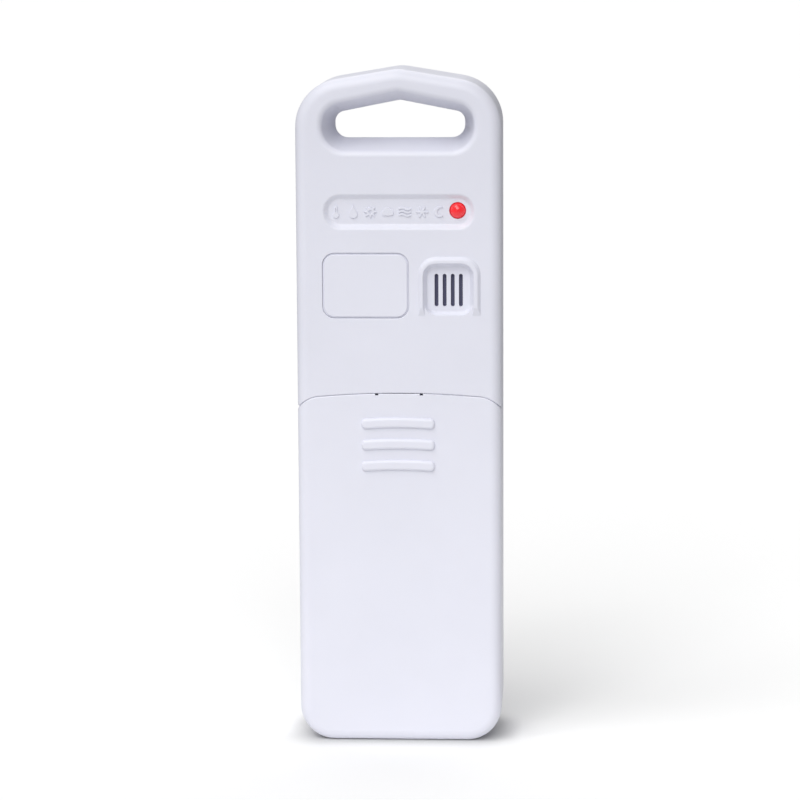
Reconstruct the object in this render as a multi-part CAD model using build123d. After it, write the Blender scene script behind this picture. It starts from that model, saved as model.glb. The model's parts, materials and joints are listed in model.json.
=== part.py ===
from build123d import *

import math
import os

# A wireless outdoor temperature and humidity sensor.
# X is the width, Y runs from the front (-Y) to the back (+Y), Z is up. Millimetres.
# The origin is at the middle of the base, on the surface the sensor stands on.

# Case
HALF_WIDTH = 19.7
HEIGHT = 131.0
FRONT_Y = -9.9
BACK_Y = 10.5
PARTING_Y = 0.0
WALL = 2.0
ROOF_ANGLE = 9.46
APEX_RADIUS = 7.0
SHOULDER_RADIUS = 9.3
BOTTOM_RADIUS = 6.8
FRONT_EDGE_RADIUS = 2.1
REAR_EDGE_RADIUS = 2.1
SEAM_GAP = 0.15

# Hang loop: the throat sits at the parting plane and flares out to both faces
THROAT_HALF_WIDTH = 12.55
THROAT_BOTTOM_Z = 117.5
THROAT_SHOULDER_Z = 122.66
THROAT_APEX_Z = 124.75
THROAT_SHOULDER_INSET = 1.9
THROAT_CORNER_RADIUS = 2.5
THROAT_TOP_RADIUS = 2.0
FLARE_ANGLE = 12.0
FLARE_EDGE_RADIUS = 1.2
CAVITY_TOP_Z = 112.4

# Nameplate recess and status light
PLATE_CENTRE = (0.2, 103.9)
PLATE_SIZE = (29.0, 6.7)
PLATE_RADIUS = 3.2
PLATE_DEPTH = 0.8
PLATE_SLOPE = 48.0
PLATE_SOFTNESS = 0.5
LED_CENTRE = (11.38, 104.1)
LED_RADIUS = 1.62
LED_PROUD = 0.85
LED_GAP = 0.05
LED_FLANGE = (1.97, 1.0)
LED_END_Y = -5.7
LEAD_PITCH = 2.54
LEAD_WIDTH = 0.5
LEAD_BEYOND_BOARD = 0.8

# Blank inlaid label
LABEL_CENTRE = (-6.3, 89.7)
LABEL_SIZE = (16.5, 12.5)
LABEL_RADIUS = 2.3
LABEL_THICKNESS = 0.75
LABEL_GAP = 0.05
LABEL_GROOVE = (0.25, 0.35)
LABEL_EDGE = 0.16

# Vent with its hood
VENT_CENTRE = (9.6, 88.9)
VENT_SIZE = (9.2, 9.8)
VENT_RADIUS = 2.2
VENT_DEPTH = 1.1
VENT_SLOPE = 24.0
VENT_SOFTNESS = 0.35
SLOT_COUNT = 4
SLOT_PITCH = 1.56
SLOT_SIZE = (0.75, 6.3)
SLOT_DROP = 0.15
FILTER_SIZE = (8.0, 8.2)
FILTER_RADIUS = 1.0
FILTER_THICKNESS = 0.5
HOOD_CENTRE_X = 9.74
HOOD_HALF_WIDTH = 6.04
HOOD_TOP_Z = 95.33
HOOD_FOOT_Z = 83.9
HOOD_FOOT_LENGTH = 1.6
HOOD_HEIGHT = 0.65
HOOD_SLOPE = 42.0
HOOD_SOFTNESS = 0.42
HOOD_CORNER_RADIUS = 3.6
HOOD_INNER_EDGE = 0.14

# Battery cover
COVER_CENTRE_Z = 68.85
COVER_ARC_RADIUS = 177.5
COVER_CORNER_X = 15.0
COVER_CORNER_RADIUS = 5.5
COVER_OUTREACH = 0.3
COVER_SIDE_TOP_Z = 67.2
COVER_SIDE_FOOT_Z = 63.9
COVER_SIDE_DEPTH = 2.4
COVER_WALL = 1.8
COVER_GAP = 0.05
SEAM_EDGE = 0.25
GRIP_CENTRE_X = -0.2
GRIP_HALF_LENGTH = 7.1
GRIP_HEIGHT = 2.0
GRIP_PROUD = 0.65
GRIP_ARC_RADIUS = 80.0
GRIP_END_ROUNDNESS = 0.85
GRIP_EDGE_ROUNDNESS = 0.85
GRIP_CENTRES_Z = (63.2, 59.05, 54.92)
LATCH_HALF_WIDTH = 4.3
LATCH_EXTRA_GAP = 0.07
LATCH_NOTCH = (0.65, 0.4)
TONGUE_HALF_WIDTH = 3.6
TONGUE_THICKNESS = 0.9
TONGUE_GAP = 0.15
TONGUE_BACK_Y = FRONT_Y + WALL + TONGUE_GAP + TONGUE_THICKNESS
TONGUE_TOP_Z = 69.55
TONGUE_ROOT_Z = (64.85, 67.55)
RAIL_DEPTH = 1.0
RAIL_Y = (-1.8, -0.7)
RAIL_SPANS = ((8.0, 22.0), (34.0, 48.0))
RAIL_ROOT = 0.4

# The sill: the floor of the rear shell reaches forward inside the cover and carries the front of the base
SILL_HALF_WIDTH = 12.4
SILL_GAP = 0.12
SILL_FRONT_Y = FRONT_Y + COVER_WALL + SILL_GAP
SILL_NOTCH_GAP = (0.3, 0.2)

# Locating lip, the part of the rear shell that reaches into the front shell
LIP_GAP = 0.1
LIP_THICKNESS = 0.8
LIP_REACH = 1.0
LIP_TOP_Z = 106.4

# Battery tray and cells
TRAY_BOTTOM_Z = 4.0
TRAY_TOP_Z = 63.3
TRAY_END = 1.2
TRAY_HALF_WIDTH = 16.5
TRAY_SIDE = 1.0
TRAY_BACK_Y = 8.45
TRAY_FLOOR = 0.75
TRAY_LIP = (1.0, 1.0)
TRAY_FRONT_Y = -3.2
TRAY_LIP_END = 4.0
RIDGE_WIDTHS = (4.0, 1.0)
RIDGE_HEIGHT = 3.0
NOTCH_HALF_WIDTH = 1.6
NOTCH_FLOOR_Y = -1.15
CELL_X = 7.6
CELL_Y = 0.15
CELL_RADIUS = 7.1
CELL_LENGTH = 49.3
CELL_NUB_RADIUS = 2.75
CELL_NUB_HEIGHT = 1.2
CELL_EDGE = 0.5
SLEEVE_THICKNESS = 0.15
SLEEVE_SHORT = 0.5
CONTACT_THICKNESS = 0.4
CONTACT_SIZE = 9.0
CONTACT_SHIFT_Y = 0.3
DIMPLE_RADIUS = 1.6
DIMPLE_HEIGHT = 0.35
STRIP_HALF_DEPTH = 3.0
TAB_HALF_WIDTH = 1.2
TAB_OVERLAP = 2.5
SPRING_WIRE = 0.35
SPRING_TURNS = 3.5
SPRING_RADIUS = 3.2
SPRING_SEAT = 1.08

# Circuit board
BOARD_FRONT_Y = -3.0
BOARD_THICKNESS = 1.2
BOARD_HALF_WIDTH = 15.2
BOARD_BOTTOM_Z = 72.5
BOARD_TOP_Z = 109.5
BOARD_TAB_HALF_WIDTH = 9.0
BOARD_TAB_Z = 63.6
BOARD_TAB_OVERLAP = 2.0
BOARD_CORNER_RADIUS = 1.0
BOARD_NOTCH_SIZE = (7.4, 5.6)
BOARD_NOTCH_SHIFT = 1.0
LEAD_HOLE_RADIUS = 0.45
BULKHEAD_Z = 69.9
BULKHEAD_THICKNESS = 1.5
BULKHEAD_GAP = 0.4
BULKHEAD_SIDE_GAP = 0.3
BOSS_RADIUS = 2.4
REAR_BOSS_RADIUS = 3.0
BOARD_BOSS_RADIUS = 1.92

# Components on the board: centre, then size across, up and out from the board
CHIP_CENTRE = (-4.0, 84.0)
CHIP_SIZE = (6.0, 9.0, 1.5)
CHIP_LEAD_COUNT = 7
CHIP_LEAD_PITCH = 1.2
CHIP_LEAD_SIZE = (8.4, 0.4, 0.35)
CRYSTAL_CENTRE = (6.5, 84.0)
CRYSTAL_SIZE = (11.0, 4.4, 3.2)
RESONATOR_CENTRE = (6.0, 93.5)
RESONATOR_RADII = (4.4, 3.9)
RESONATOR_HEIGHTS = (0.6, 2.8)
COIL_CENTRE = (-8.5, 103.0)
COIL_RADIUS = 2.2
COIL_WIRE = 0.3
COIL_PITCH = 1.6
COIL_LENGTH = 12.8
CAPACITOR_CENTRE = (-8.5, 93.5)
CAPACITOR_RADIUS = 2.5
CAPACITOR_LENGTH = 7.0
SENSOR_SIZE = (7.4, 8.0, 3.6)
SENSOR_HOLE_RADIUS = 0.4
SENSOR_HOLE_DEPTH = 0.8
SENSOR_HOLE_PITCH = (1.5, 1.6)
BEAD_OFFSET_X = -6.8
BEAD_RADIUS = 1.1
BEAD_STANDOFF = 3.0
BEAD_WIRE_RADIUS = 0.22
BEAD_WIRE_LENGTH = 2.8

# Channel switch
SWITCH_CENTRE = (0.0, 66.2)
SWITCH_SIZE = (9.0, 2.6, 3.6)
SWITCH_WALL = 0.5
SWITCH_SLOT = (6.2, 1.5)
SLIDER_BASE = (3.8, 0.8, 2.3)
SLIDER_KNOB = (1.5, 1.2)
SLIDER_PROUD = 0.9
SLIDER_RUNNING_GAP = 0.08

# Screws
CASE_SCREWS = ((-13.2, 75.0), (13.2, 75.0), (-13.2, 109.2), (13.2, 109.2))
CASE_SCREW_RADIUS = 1.15
CASE_SCREW_HEAD_RADIUS = 2.1
CASE_SCREW_HEAD = 1.4
CASE_SCREW_LENGTH = 9.0
CASE_SCREW_SINK = 2.2
CASE_PILOT_DEPTH = 6.0
CASE_SCREW_CLEARANCE = 0.2
CASE_HEAD_CLEARANCE = 0.25
BOARD_SCREWS = ((-12.6, 82.0), (12.6, 97.2))
BOARD_SCREW_RADIUS = 0.8
BOARD_SCREW_HEAD_RADIUS = 1.6
BOARD_SCREW_HEAD = 1.1
BOARD_SCREW_LENGTH = 4.2
BOARD_PILOT_DEPTH = 3.5
BOARD_SCREW_CLEARANCE = 0.2
CROSS_HALF_WIDTH = 0.28

FAR = 60.0
PAST = 1.0


def slab(outline, y_from, y_to, taper=0.0):
    """An outline drawn in X and Z, made solid from one depth towards the front."""
    return extrude(Plane.XZ.offset(-y_to) * outline, y_to - y_from, taper=taper)


def backward_slab(outline, y_from, y_to, taper=0.0):
    """The same, made solid towards the back, so that a taper works the other way."""
    plane = Plane((0, y_from, 0), x_dir=(-1, 0, 0), z_dir=(0, 1, 0))
    return extrude(plane * mirror(outline, Plane.YZ), y_to - y_from, taper=taper)


def block(x_from, x_to, y_from, y_to, z_from, z_to):
    """A box given by its limits."""
    size = (x_to - x_from, y_to - y_from, z_to - z_from)
    centre = ((x_from + x_to) / 2, (y_from + y_to) / 2, (z_from + z_to) / 2)
    return Pos(*centre) * Box(*size)


def rod(x, z, radius, y_from, y_to):
    """A round bar that runs from front to back."""
    return slab(Pos(x, z) * Circle(radius), y_from, y_to)


def edges_at_depth(solid, y):
    """All edges that lie in the plane at one depth."""
    return [e for e in solid.edges() if abs(e.bounding_box().min.Y - y) < 1e-3
            and abs(e.bounding_box().max.Y - y) < 1e-3]


# ---------------------------------------------------------------- case

def case_outline():
    """Straight sides under a low pitched top, with every corner rounded."""
    apex_z = HEIGHT + APEX_RADIUS * (1 / math.cos(math.radians(ROOF_ANGLE)) - 1)
    shoulder_z = apex_z - HALF_WIDTH * math.tan(math.radians(ROOF_ANGLE))
    corners = [(-HALF_WIDTH, 0), (HALF_WIDTH, 0), (HALF_WIDTH, shoulder_z), (0, apex_z),
               (-HALF_WIDTH, shoulder_z)]
    radii = [BOTTOM_RADIUS, BOTTOM_RADIUS, SHOULDER_RADIUS, APEX_RADIUS, SHOULDER_RADIUS]
    return make_face(FilletPolyline(*corners, radius=radii, close=True))


def throat_outline():
    """The hang opening at the parting plane: a flat bottom under a low pitched top."""
    w = THROAT_HALF_WIDTH
    rise = (THROAT_APEX_Z - THROAT_SHOULDER_Z) / (w - THROAT_SHOULDER_INSET)
    shoulder_z = THROAT_APEX_Z - rise * w
    corners = [(-w, THROAT_BOTTOM_Z), (w, THROAT_BOTTOM_Z), (w, shoulder_z),
               (0, THROAT_APEX_Z), (-w, shoulder_z)]
    radii = [THROAT_CORNER_RADIUS] * 2 + [THROAT_TOP_RADIUS] * 3
    return make_face(FilletPolyline(*corners, radius=radii, close=True))


def cover_zone(grow=0.0):
    """The space that the battery cover takes out of the front of the case."""
    arc_centre_z = COVER_CENTRE_Z - COVER_ARC_RADIUS
    arc_end_z = arc_centre_z + math.sqrt(COVER_ARC_RADIUS ** 2 - COVER_CORNER_X ** 2)
    r = COVER_CORNER_RADIUS
    edge_x = HALF_WIDTH + COVER_OUTREACH
    reach = edge_x - COVER_CORNER_X
    corner_z = arc_end_z - (r - math.sqrt(r * r - reach * reach))
    mid_reach = reach * 0.6
    mid_z = arc_end_z - (r - math.sqrt(r * r - mid_reach * mid_reach))
    right = ThreePointArc((COVER_CORNER_X, arc_end_z), (COVER_CORNER_X + mid_reach, mid_z),
                          (edge_x, corner_z))
    left = ThreePointArc((-edge_x, corner_z), (-COVER_CORNER_X - mid_reach, mid_z),
                         (-COVER_CORNER_X, arc_end_z))
    top = ThreePointArc((-COVER_CORNER_X, arc_end_z), (0, COVER_CENTRE_Z), (COVER_CORNER_X, arc_end_z))
    rest = Polyline((edge_x, corner_z), (edge_x, -FAR), (-edge_x, -FAR), (-edge_x, corner_z))
    front_view = Pos(0, grow) * make_face([left, top, right, rest])
    seam_y = PARTING_Y - SEAM_GAP
    side = [(FRONT_Y - FAR, -FAR), (seam_y + grow, -FAR), (seam_y + grow, COVER_SIDE_FOOT_Z + grow),
            (seam_y - COVER_SIDE_DEPTH, COVER_SIDE_TOP_Z + grow), (seam_y - COVER_SIDE_DEPTH, HEIGHT),
            (FRONT_Y - FAR, HEIGHT)]
    side_view = extrude(Plane.YZ * make_face(Polyline(*side, close=True)), FAR, both=True)
    return slab(front_view, FRONT_Y - PAST, PARTING_Y + grow) & side_view


def front_half():
    """The front half of the case as one filled block, with its rounded front edge."""
    solid = slab(case_outline(), FRONT_Y, PARTING_Y)
    return fillet(edges_at_depth(solid, FRONT_Y), FRONT_EDGE_RADIUS)


def seam_edges(cut, filled):
    """The edges where the cover's cut meets the outer skin, up to the short slopes at the parting plane."""
    low = COVER_SIDE_FOOT_Z - PAST
    high = COVER_CENTRE_Z + PAST
    skin = Shell(filled.faces().sort_by(Axis.Y)[:-1])
    near = [e for e in cut.edges()
            if low < e.center().Z < high and e.bounding_box().max.Y < PARTING_Y - 0.5]
    return [e for e in near if skin.distance_to(e @ 0.5) < 1e-4]


def rear_half():
    """The rear half of the case as one filled block, with its rounded rear edge."""
    solid = slab(case_outline(), PARTING_Y, BACK_Y)
    return fillet(edges_at_depth(solid, BACK_Y), REAR_EDGE_RADIUS)


def flare(towards_front):
    """The hang opening in one half of the case, wider at the face than at the throat."""
    if towards_front:
        return slab(throat_outline(), FRONT_Y, PARTING_Y, taper=-FLARE_ANGLE)
    return backward_slab(throat_outline(), PARTING_Y, BACK_Y, taper=-FLARE_ANGLE)


def electronics_cavity(y_from, y_to, wall):
    """The room for the board, between the bulkhead and the hang loop."""
    room = offset(case_outline(), -wall)
    limits = Pos(0, (BULKHEAD_Z + CAVITY_TOP_Z) / 2) * Rectangle(FAR, CAVITY_TOP_Z - BULKHEAD_Z)
    return slab(room & limits, y_from, y_to)


def tapered_recess(centre, size, radius, depth, slope, softness):
    """A shallow recess for the front face, with sloping walls and a soft foot."""
    outline = Pos(*centre) * RectangleRounded(*size, radius)
    recess = backward_slab(outline, FRONT_Y, FRONT_Y + depth, taper=slope)
    return fillet(edges_at_depth(recess, FRONT_Y + depth), softness)


def rim_edges(shell, centre, size):
    """The edges in the front face around one recess."""
    x, z = centre
    return [e for e in edges_at_depth(shell, FRONT_Y)
            if abs(e.center().X - x) < size[0] / 2 + 0.3 and abs(e.center().Z - z) < size[1] / 2 + 0.3]


def vent_hood():
    """The raised rib over the top and down both sides of the vent; its legs run out into the face."""
    height = HOOD_TOP_Z - HOOD_FOOT_Z
    outline = Pos(HOOD_CENTRE_X, HOOD_FOOT_Z) * RectangleRounded(
        2 * HOOD_HALF_WIDTH, 2 * height, HOOD_CORNER_RADIUS)
    upper = Pos(HOOD_CENTRE_X, HOOD_FOOT_Z + height) * Rectangle(4 * HOOD_HALF_WIDTH, 2 * height)
    hood = slab(outline & upper, FRONT_Y - HOOD_HEIGHT, FRONT_Y, taper=HOOD_SLOPE)
    hood = fillet(edges_at_depth(hood, FRONT_Y - HOOD_HEIGHT), HOOD_SOFTNESS)
    hood += slab(outline & upper, FRONT_Y, FRONT_Y + 0.3)
    ramp_y = FRONT_Y - HOOD_HEIGHT - 0.1
    ramp_z = HOOD_FOOT_Z + HOOD_FOOT_LENGTH * (HOOD_HEIGHT + 0.1) / HOOD_HEIGHT
    ramp = Polyline((FRONT_Y, HOOD_FOOT_Z), (ramp_y, ramp_z), (ramp_y, HOOD_FOOT_Z), close=True)
    hood -= extrude(Plane.YZ * make_face(ramp), FAR, both=True)
    reach = HOOD_HEIGHT + 0.1
    grow = reach * math.tan(math.radians(VENT_SLOPE))
    mouth = Pos(VENT_CENTRE[0], VENT_CENTRE[1] - height) * RectangleRounded(
        VENT_SIZE[0] + 2 * grow, VENT_SIZE[1] + 2 * grow + 2 * height, VENT_RADIUS + grow)
    hood -= backward_slab(mouth, FRONT_Y - reach, FRONT_Y + VENT_DEPTH, taper=VENT_SLOPE)
    return fillet(edges_at_depth(hood, FRONT_Y - HOOD_HEIGHT), HOOD_INNER_EDGE)


def vent_slots():
    """The row of upright slots through the floor of the vent."""
    cut = []
    for index in range(SLOT_COUNT):
        x = VENT_CENTRE[0] + (index - (SLOT_COUNT - 1) / 2) * SLOT_PITCH
        outline = Pos(x, VENT_CENTRE[1] - SLOT_DROP) * Rot(0, 0, 90) * SlotOverall(SLOT_SIZE[1], SLOT_SIZE[0])
        cut.append(slab(outline, FRONT_Y - PAST, FRONT_Y + WALL + PAST))
    return cut


def front_shell():
    """The front of the case above the cover, with its openings, recesses and screw bosses."""
    filled = front_half()
    shell = filled - cover_zone(COVER_GAP)
    shell -= block(-FAR, FAR, PARTING_Y - SEAM_GAP, PARTING_Y + PAST, -PAST, HEIGHT + PAST)
    shell = fillet(seam_edges(shell, filled), SEAM_EDGE)
    shell -= electronics_cavity(FRONT_Y + WALL, PARTING_Y, WALL)
    bulkhead_top = BULKHEAD_Z + BULKHEAD_THICKNESS
    inside = slab(offset(case_outline(), -WALL / 2), FRONT_Y + WALL / 2, BOARD_FRONT_Y - BULKHEAD_GAP)
    shell += inside & block(-FAR, FAR, FRONT_Y, 0, BULKHEAD_Z, bulkhead_top)
    shell -= block(-HALF_WIDTH + WALL, HALF_WIDTH - WALL, FRONT_Y + WALL, PARTING_Y + PAST,
                   COVER_SIDE_FOOT_Z - PAST, BULKHEAD_Z)
    shell -= flare(True)
    shell = fillet(loop_edge(shell, FRONT_Y), FLARE_EDGE_RADIUS)
    shell -= tapered_recess(PLATE_CENTRE, PLATE_SIZE, PLATE_RADIUS, PLATE_DEPTH, PLATE_SLOPE,
                            PLATE_SOFTNESS)
    shell = fillet(rim_edges(shell, PLATE_CENTRE, PLATE_SIZE), PLATE_SOFTNESS)
    shell -= rod(*LED_CENTRE, LED_RADIUS, FRONT_Y - PAST, FRONT_Y + WALL + PAST)
    label_size = [length + 2 * LABEL_GAP for length in LABEL_SIZE]
    label = Pos(*LABEL_CENTRE) * RectangleRounded(*label_size, LABEL_RADIUS + LABEL_GAP)
    shell -= slab(label, FRONT_Y - PAST, FRONT_Y + LABEL_THICKNESS)
    shell = fillet(rim_edges(shell, LABEL_CENTRE, label_size), LABEL_EDGE)
    shell -= tapered_recess(VENT_CENTRE, VENT_SIZE, VENT_RADIUS, VENT_DEPTH, VENT_SLOPE, VENT_SOFTNESS)
    shell += vent_hood()
    shell -= vent_slots()
    for x, z in CASE_SCREWS:
        shell += rod(x, z, BOSS_RADIUS, FRONT_Y + WALL / 2, PARTING_Y - SEAM_GAP)
        shell -= rod(x, z, CASE_SCREW_RADIUS, PARTING_Y - CASE_PILOT_DEPTH, PARTING_Y + PAST)
    for x, z in BOARD_SCREWS:
        shell += rod(x, z, BOARD_BOSS_RADIUS, FRONT_Y + WALL / 2, BOARD_FRONT_Y)
        shell -= rod(x, z, BOARD_SCREW_RADIUS, BOARD_FRONT_Y - BOARD_PILOT_DEPTH, PARTING_Y)
    return shell


def loop_edge(shell, y):
    """The edges around the hang opening at one face."""
    return [e for e in edges_at_depth(shell, y)
            if abs(e.center().X) < THROAT_HALF_WIDTH + 4 and THROAT_BOTTOM_Z - 5 < e.center().Z < HEIGHT - 2
            and e.bounding_box().max.X - e.bounding_box().min.X < 2 * THROAT_HALF_WIDTH + 6
            and abs(e.center().X) < HALF_WIDTH - FRONT_EDGE_RADIUS - 0.8]


def rear_shell():
    """The back of the case, with its bulkhead, screw bosses, locating lip and forward floor."""
    shell = rear_half()
    room = offset(case_outline(), -WALL)
    limits = Pos(0, (CAVITY_TOP_Z + WALL) / 2) * Rectangle(FAR, CAVITY_TOP_Z - WALL)
    shell -= slab(room & limits, PARTING_Y, BACK_Y - WALL)
    shell -= flare(False)
    shell = fillet(loop_edge(shell, BACK_Y), FLARE_EDGE_RADIUS)
    shell += sill()
    shell += rear_bulkhead()
    shell += locating_lip()
    head_y = BACK_Y - CASE_SCREW_SINK - CASE_SCREW_HEAD
    for x, z in CASE_SCREWS:
        shell += rod(x, z, REAR_BOSS_RADIUS, PARTING_Y, BACK_Y - WALL / 2)
        shell -= rod(x, z, CASE_SCREW_RADIUS + CASE_SCREW_CLEARANCE, PARTING_Y - PAST, BACK_Y + PAST)
        shell -= rod(x, z, CASE_SCREW_HEAD_RADIUS + CASE_HEAD_CLEARANCE, head_y, BACK_Y + PAST)
    return shell


def rear_bulkhead():
    """The wall between the battery compartment and the electronics, up to the board and round its tab."""
    top = BULKHEAD_Z + BULKHEAD_THICKNESS
    side_x = HALF_WIDTH - WALL - BULKHEAD_SIDE_GAP
    inside = slab(offset(case_outline(), -WALL / 2), BOARD_FRONT_Y + BOARD_THICKNESS + BULKHEAD_GAP,
                  BACK_Y - WALL / 2)
    rear = block(-FAR, FAR, PARTING_Y, FAR, BULKHEAD_Z, top)
    wall = inside & (block(-side_x, side_x, -FAR, FAR, BULKHEAD_Z, top) + rear)
    inner_x = BOARD_TAB_HALF_WIDTH + BULKHEAD_GAP
    for low_x, high_x in ((-side_x, -inner_x), (inner_x, side_x)):
        wall += block(low_x, high_x, BOARD_FRONT_Y - BULKHEAD_GAP / 2, PARTING_Y, BULKHEAD_Z, top)
    return wall


def locating_lip():
    """The rib inside the rear shell's rim that reaches into the front shell and lines the two up."""
    rib_outside = offset(case_outline(), -WALL - LIP_GAP)
    rib_inside = offset(case_outline(), -WALL - LIP_GAP - LIP_THICKNESS)
    foot_z = BULKHEAD_Z + BULKHEAD_THICKNESS
    zone = Pos(0, (foot_z + LIP_TOP_Z) / 2) * Rectangle(FAR, LIP_TOP_Z - foot_z)
    lip = slab((rib_outside - rib_inside) & zone, PARTING_Y - LIP_REACH, PARTING_Y + LIP_REACH)
    link = (offset(case_outline(), -WALL / 2) - rib_inside) & zone
    return lip + slab(link, PARTING_Y, PARTING_Y + LIP_REACH)


def sill():
    """The forward floor of the rear shell, notched where the cover's tongue passes as it slides off."""
    floor = block(-SILL_HALF_WIDTH, SILL_HALF_WIDTH, SILL_FRONT_Y, PARTING_Y + WALL, 0, WALL)
    notch_x = TONGUE_HALF_WIDTH + SILL_NOTCH_GAP[0]
    notch_y = TONGUE_BACK_Y + SILL_NOTCH_GAP[1]
    return floor - block(-notch_x, notch_x, SILL_FRONT_Y - PAST, notch_y, -PAST, WALL + PAST)


def battery_cover():
    """The lower front of the case, which slides down off it: rails inside, grip ribs and latch tongue."""
    filled = front_half()
    cover = filled & cover_zone()
    cover = fillet(seam_edges(cover, filled), SEAM_EDGE)
    inside = offset(case_outline(), -COVER_WALL)
    opening = Pos(0, COVER_CENTRE_Z) * Rectangle(2 * (HALF_WIDTH - COVER_WALL), COVER_CENTRE_Z)
    cover -= slab(inside + opening, FRONT_Y + COVER_WALL, PARTING_Y + PAST)
    for centre_z in GRIP_CENTRES_Z:
        cover += grip_rib(centre_z)
    for low, high in RAIL_SPANS:
        outer_x = HALF_WIDTH - COVER_WALL + RAIL_ROOT
        inner_x = HALF_WIDTH - COVER_WALL - RAIL_DEPTH
        for low_x, high_x in ((-outer_x, -inner_x), (inner_x, outer_x)):
            cover += block(low_x, high_x, *RAIL_Y, low, high)
    cover -= block(-LATCH_HALF_WIDTH, LATCH_HALF_WIDTH, FRONT_Y - PAST, PARTING_Y,
                   COVER_CENTRE_Z - LATCH_EXTRA_GAP, COVER_CENTRE_Z + PAST)
    sill_x = SILL_HALF_WIDTH + SILL_GAP
    cover -= block(-sill_x, sill_x, SILL_FRONT_Y - SILL_GAP, PARTING_Y, -PAST, COVER_WALL + PAST)
    notch_width, notch_depth = LATCH_NOTCH
    for x in (-LATCH_HALF_WIDTH, LATCH_HALF_WIDTH):
        cover -= block(x - notch_width / 2, x + notch_width / 2, FRONT_Y - PAST, PARTING_Y,
                       COVER_CENTRE_Z - notch_depth, COVER_CENTRE_Z + PAST)
    return cover + latch_tongue()


def grip_rib(centre_z):
    """One raised, slightly arched finger rib with soft edges."""
    rise = GRIP_HALF_LENGTH ** 2 / (2 * GRIP_ARC_RADIUS)
    h = GRIP_HEIGHT / 2
    top = ThreePointArc((-GRIP_HALF_LENGTH, centre_z + h - rise), (0, centre_z + h),
                        (GRIP_HALF_LENGTH, centre_z + h - rise))
    bottom = ThreePointArc((GRIP_HALF_LENGTH, centre_z - h - rise), (0, centre_z - h),
                           (-GRIP_HALF_LENGTH, centre_z - h - rise))
    ends = [Line(top @ 1, bottom @ 0), Line(bottom @ 1, top @ 0)]
    outline = make_face([top, ends[0], bottom, ends[1]])
    outline = Pos(GRIP_CENTRE_X, 0) * fillet(outline.vertices(), h * GRIP_END_ROUNDNESS)
    rib = slab(outline, FRONT_Y - GRIP_PROUD, FRONT_Y + 0.5)
    return fillet(edges_at_depth(rib, FRONT_Y - GRIP_PROUD), GRIP_PROUD * GRIP_EDGE_ROUNDNESS)


def latch_tongue():
    """The tongue that reaches up behind the front shell's lower edge and holds the cover's top."""
    w = TONGUE_HALF_WIDTH
    low, high = TONGUE_ROOT_Z
    root = block(-w, w, FRONT_Y + COVER_WALL / 2, TONGUE_BACK_Y, low, high)
    return root + block(-w, w, TONGUE_BACK_Y - TONGUE_THICKNESS, TONGUE_BACK_Y, low, TONGUE_TOP_Z)


# ---------------------------------------------------------------- front details

def label_plate():
    """A blank plate inlaid flush in the face; a step round its edge forms the floor of a groove."""
    width, height = LABEL_SIZE
    groove, groove_depth = LABEL_GROOVE
    full = RectangleRounded(width, height, LABEL_RADIUS)
    face = RectangleRounded(width - 2 * groove, height - 2 * groove, LABEL_RADIUS - groove)
    plate = slab(Pos(*LABEL_CENTRE) * full, FRONT_Y + groove_depth, FRONT_Y + LABEL_THICKNESS)
    plate += slab(Pos(*LABEL_CENTRE) * face, FRONT_Y, FRONT_Y + groove_depth)
    return fillet(edges_at_depth(plate, FRONT_Y), LABEL_EDGE)


def status_led():
    """A 3 mm light: flange, round body and domed tip."""
    x, z = LED_CENTRE
    tip = FRONT_Y + PLATE_DEPTH - LED_PROUD
    body_radius = LED_RADIUS - LED_GAP
    body = rod(x, z, body_radius, tip + body_radius, LED_END_Y)
    dome = Pos(x, tip + body_radius, z) * Sphere(body_radius)
    flange_radius, flange_thickness = LED_FLANGE
    return body + dome + rod(x, z, flange_radius, LED_END_Y - flange_thickness, LED_END_Y)


def led_leads():
    """Two straight wires from the light to the board."""
    led_x, z = LED_CENTRE
    h = LEAD_WIDTH / 2
    end_y = BOARD_FRONT_Y + BOARD_THICKNESS + LEAD_BEYOND_BOARD
    wires = [block(x - h, x + h, LED_END_Y, end_y, z - h, z + h)
             for x in (led_x - LEAD_PITCH / 2, led_x + LEAD_PITCH / 2)]
    return Compound(children=wires)


def dust_filter():
    """A thin felt pad behind the vent slots."""
    outline = Pos(VENT_CENTRE[0], VENT_CENTRE[1] - SLOT_DROP) * RectangleRounded(*FILTER_SIZE, FILTER_RADIUS)
    return slab(outline, FRONT_Y + WALL, FRONT_Y + WALL + FILTER_THICKNESS)


# ---------------------------------------------------------------- electronics

def circuit_board():
    """The board, with a tab that reaches down into the battery compartment."""
    main = Pos(0, (BOARD_BOTTOM_Z + BOARD_TOP_Z) / 2) * RectangleRounded(
        2 * BOARD_HALF_WIDTH, BOARD_TOP_Z - BOARD_BOTTOM_Z, BOARD_CORNER_RADIUS)
    tab_top = BOARD_BOTTOM_Z + BOARD_TAB_OVERLAP
    tab = Pos(0, (BOARD_TAB_Z + tab_top) / 2) * Rectangle(2 * BOARD_TAB_HALF_WIDTH, tab_top - BOARD_TAB_Z)
    outline = main + tab
    for x, z in BOARD_SCREWS:
        outline -= Pos(x, z) * Circle(BOARD_SCREW_RADIUS + BOARD_SCREW_CLEARANCE)
    for x, z in CASE_SCREWS:
        notch = RectangleRounded(*BOARD_NOTCH_SIZE, BOARD_CORNER_RADIUS)
        outline -= Pos(x + math.copysign(BOARD_NOTCH_SHIFT, x), z) * notch
    led_x, led_z = LED_CENTRE
    for x in (led_x - LEAD_PITCH / 2, led_x + LEAD_PITCH / 2):
        outline -= Pos(x, led_z) * Circle(LEAD_HOLE_RADIUS)
    return slab(outline, BOARD_FRONT_Y, BOARD_FRONT_Y + BOARD_THICKNESS)


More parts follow.
